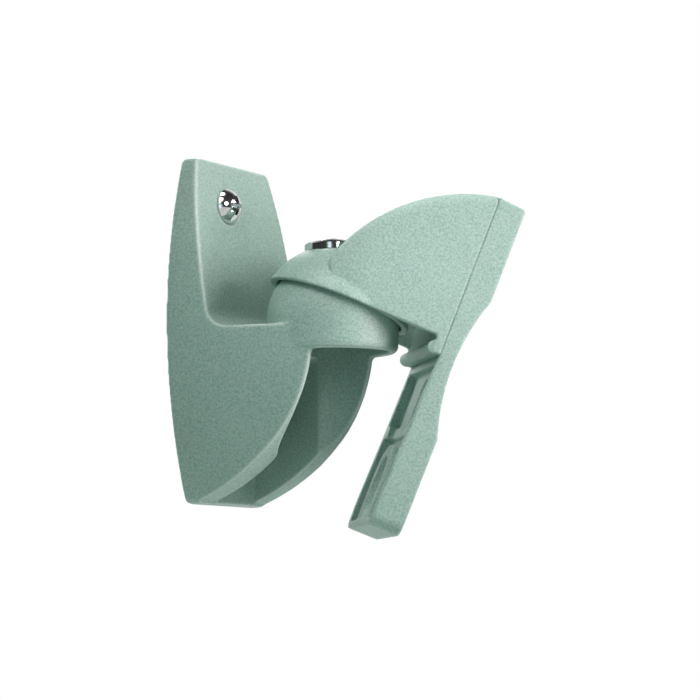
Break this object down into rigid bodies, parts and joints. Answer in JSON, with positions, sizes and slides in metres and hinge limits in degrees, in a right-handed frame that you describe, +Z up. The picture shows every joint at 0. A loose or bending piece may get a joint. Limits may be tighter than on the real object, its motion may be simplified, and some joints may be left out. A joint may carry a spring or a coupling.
{
  "type": "speaker wall bracket",
  "caption": "Wall bracket for a small loudspeaker: cast wall plate with a ball, and a hooded arm that swivels and tilts on it and ends in a slotted speaker plate.",
  "frame": {"origin": "centre of the wall face, midway between the two wall screws, in the plane of the wall", "axes": "+Z up, +Y into the wall along the wall screws, +X to the right when facing the wall; the bracket stands out towards -Y"},
  "size_m": [0.0895, 0.1152, 0.1278],
  "materials": {
    "casting": "matte",
    "plated_steel": "polished",
    "zinc_steel": "satin",
    "nylon": "satin",
    "pad_rubber": "matte"
  },
  "bodies": {
    "root": {"wall_bracket": "casting", "wall_screw_upper": "plated_steel", "wall_screw_lower": "plated_steel", "friction_cup": "nylon", "clamp_nut": "zinc_steel"},
    "bolt": {"clamp_bolt": "plated_steel"},
    "swivel": {"saddle_washer": "plated_steel"},
    "arm": {"arm_shell": "casting", "speaker_plate": "casting", "plate_screw_upper_left": "zinc_steel", "plate_screw_upper_right": "zinc_steel", "plate_screw_lower_left": "zinc_steel", "plate_screw_lower_right": "zinc_steel", "upper_pad": "pad_rubber", "lower_pad": "pad_rubber"}
  },
  "joints": [
    {"name": "swivel", "type": "hinge", "parent": "root", "child": "swivel", "pos_m": [0, -0.0455, 0.002], "axis": [0, 0, 1], "range_deg": [-87, 3]},
    {"name": "tilt", "type": "hinge", "parent": "swivel", "child": "arm", "pos_m": [0, -0.0455, 0.002], "axis": [0.7431, 0.6691, 0], "range_deg": [-21.7, 3.3]},
    {"name": "clamp_bolt_turn", "type": "hinge", "parent": "root", "child": "bolt", "pos_m": [0, -0.0455, 0.002], "axis": [0, 0, 1], "continuous": true}
  ]
}
